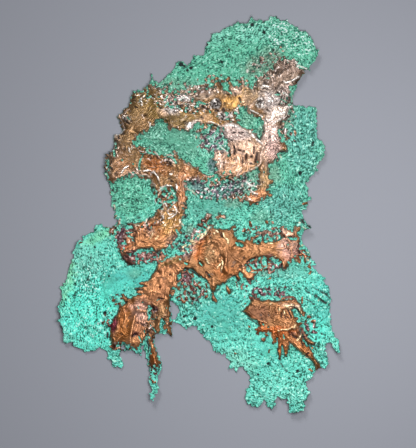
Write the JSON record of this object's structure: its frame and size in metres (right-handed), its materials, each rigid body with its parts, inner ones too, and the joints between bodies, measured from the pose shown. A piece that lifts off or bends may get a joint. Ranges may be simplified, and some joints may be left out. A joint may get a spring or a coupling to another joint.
{
  "type": "copper splash",
  "caption": "Thin lobed sheet of poured copper with raised runs of bare metal over a granular green crust; a mineral specimen that lies flat.",
  "frame": {"origin": "on the underside, in the middle of the splash's bounding box", "axes": "+Y up the length of the splash, towards its narrow crown; +Z out of the face with the copper runs; +X to the right when that face is looked down on"},
  "size_m": [0.1992, 0.28, 0.0071],
  "materials": {
    "crusted_copper": "granular verdigris crust, matt, crossed by glossy runs of bare brown to orange copper with dark rims"
  },
  "bodies": {
    "root": {"copper_splash": "crusted_copper"}
  },
  "joints": []
}
